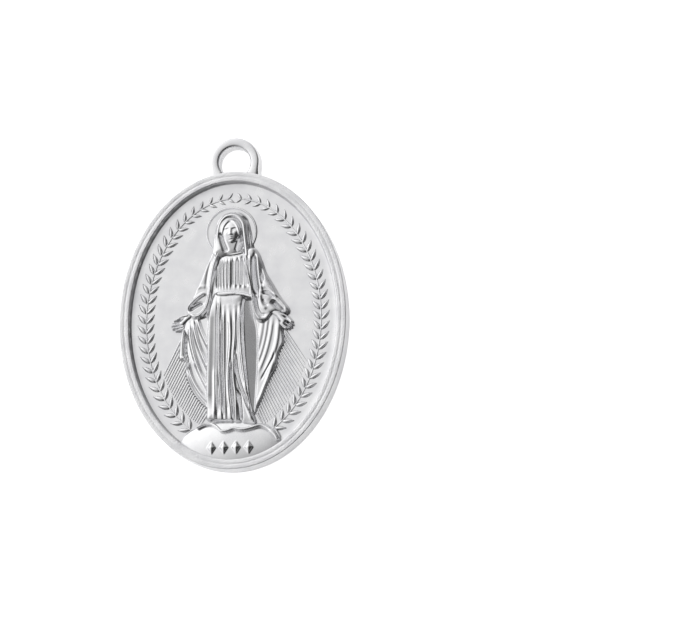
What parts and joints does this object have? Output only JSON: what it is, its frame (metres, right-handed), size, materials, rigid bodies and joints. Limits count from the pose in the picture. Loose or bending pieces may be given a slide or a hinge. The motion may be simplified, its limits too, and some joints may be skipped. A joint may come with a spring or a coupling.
{
  "type": "religious medal pendant",
  "caption": "Oval two-sided devotional medal in bright plated metal: veiled figure on a globe in front, cross, stars and hearts behind, with a cast ring on top.",
  "frame": {"origin": "middle of the footprint of medal and ring, on the plane of the back rim", "axes": "+Z out of the front face, +Y from the foot of the oval to the hanging ring, +X to the right seen from the front"},
  "size_m": [0.025, 0.0368, 0.0031],
  "materials": {
    "plated_casting": "bright silver-toned plating over a zinc alloy casting, satin on the rims"
  },
  "bodies": {
    "root": {"medal": "plated_casting"}
  },
  "joints": []
}
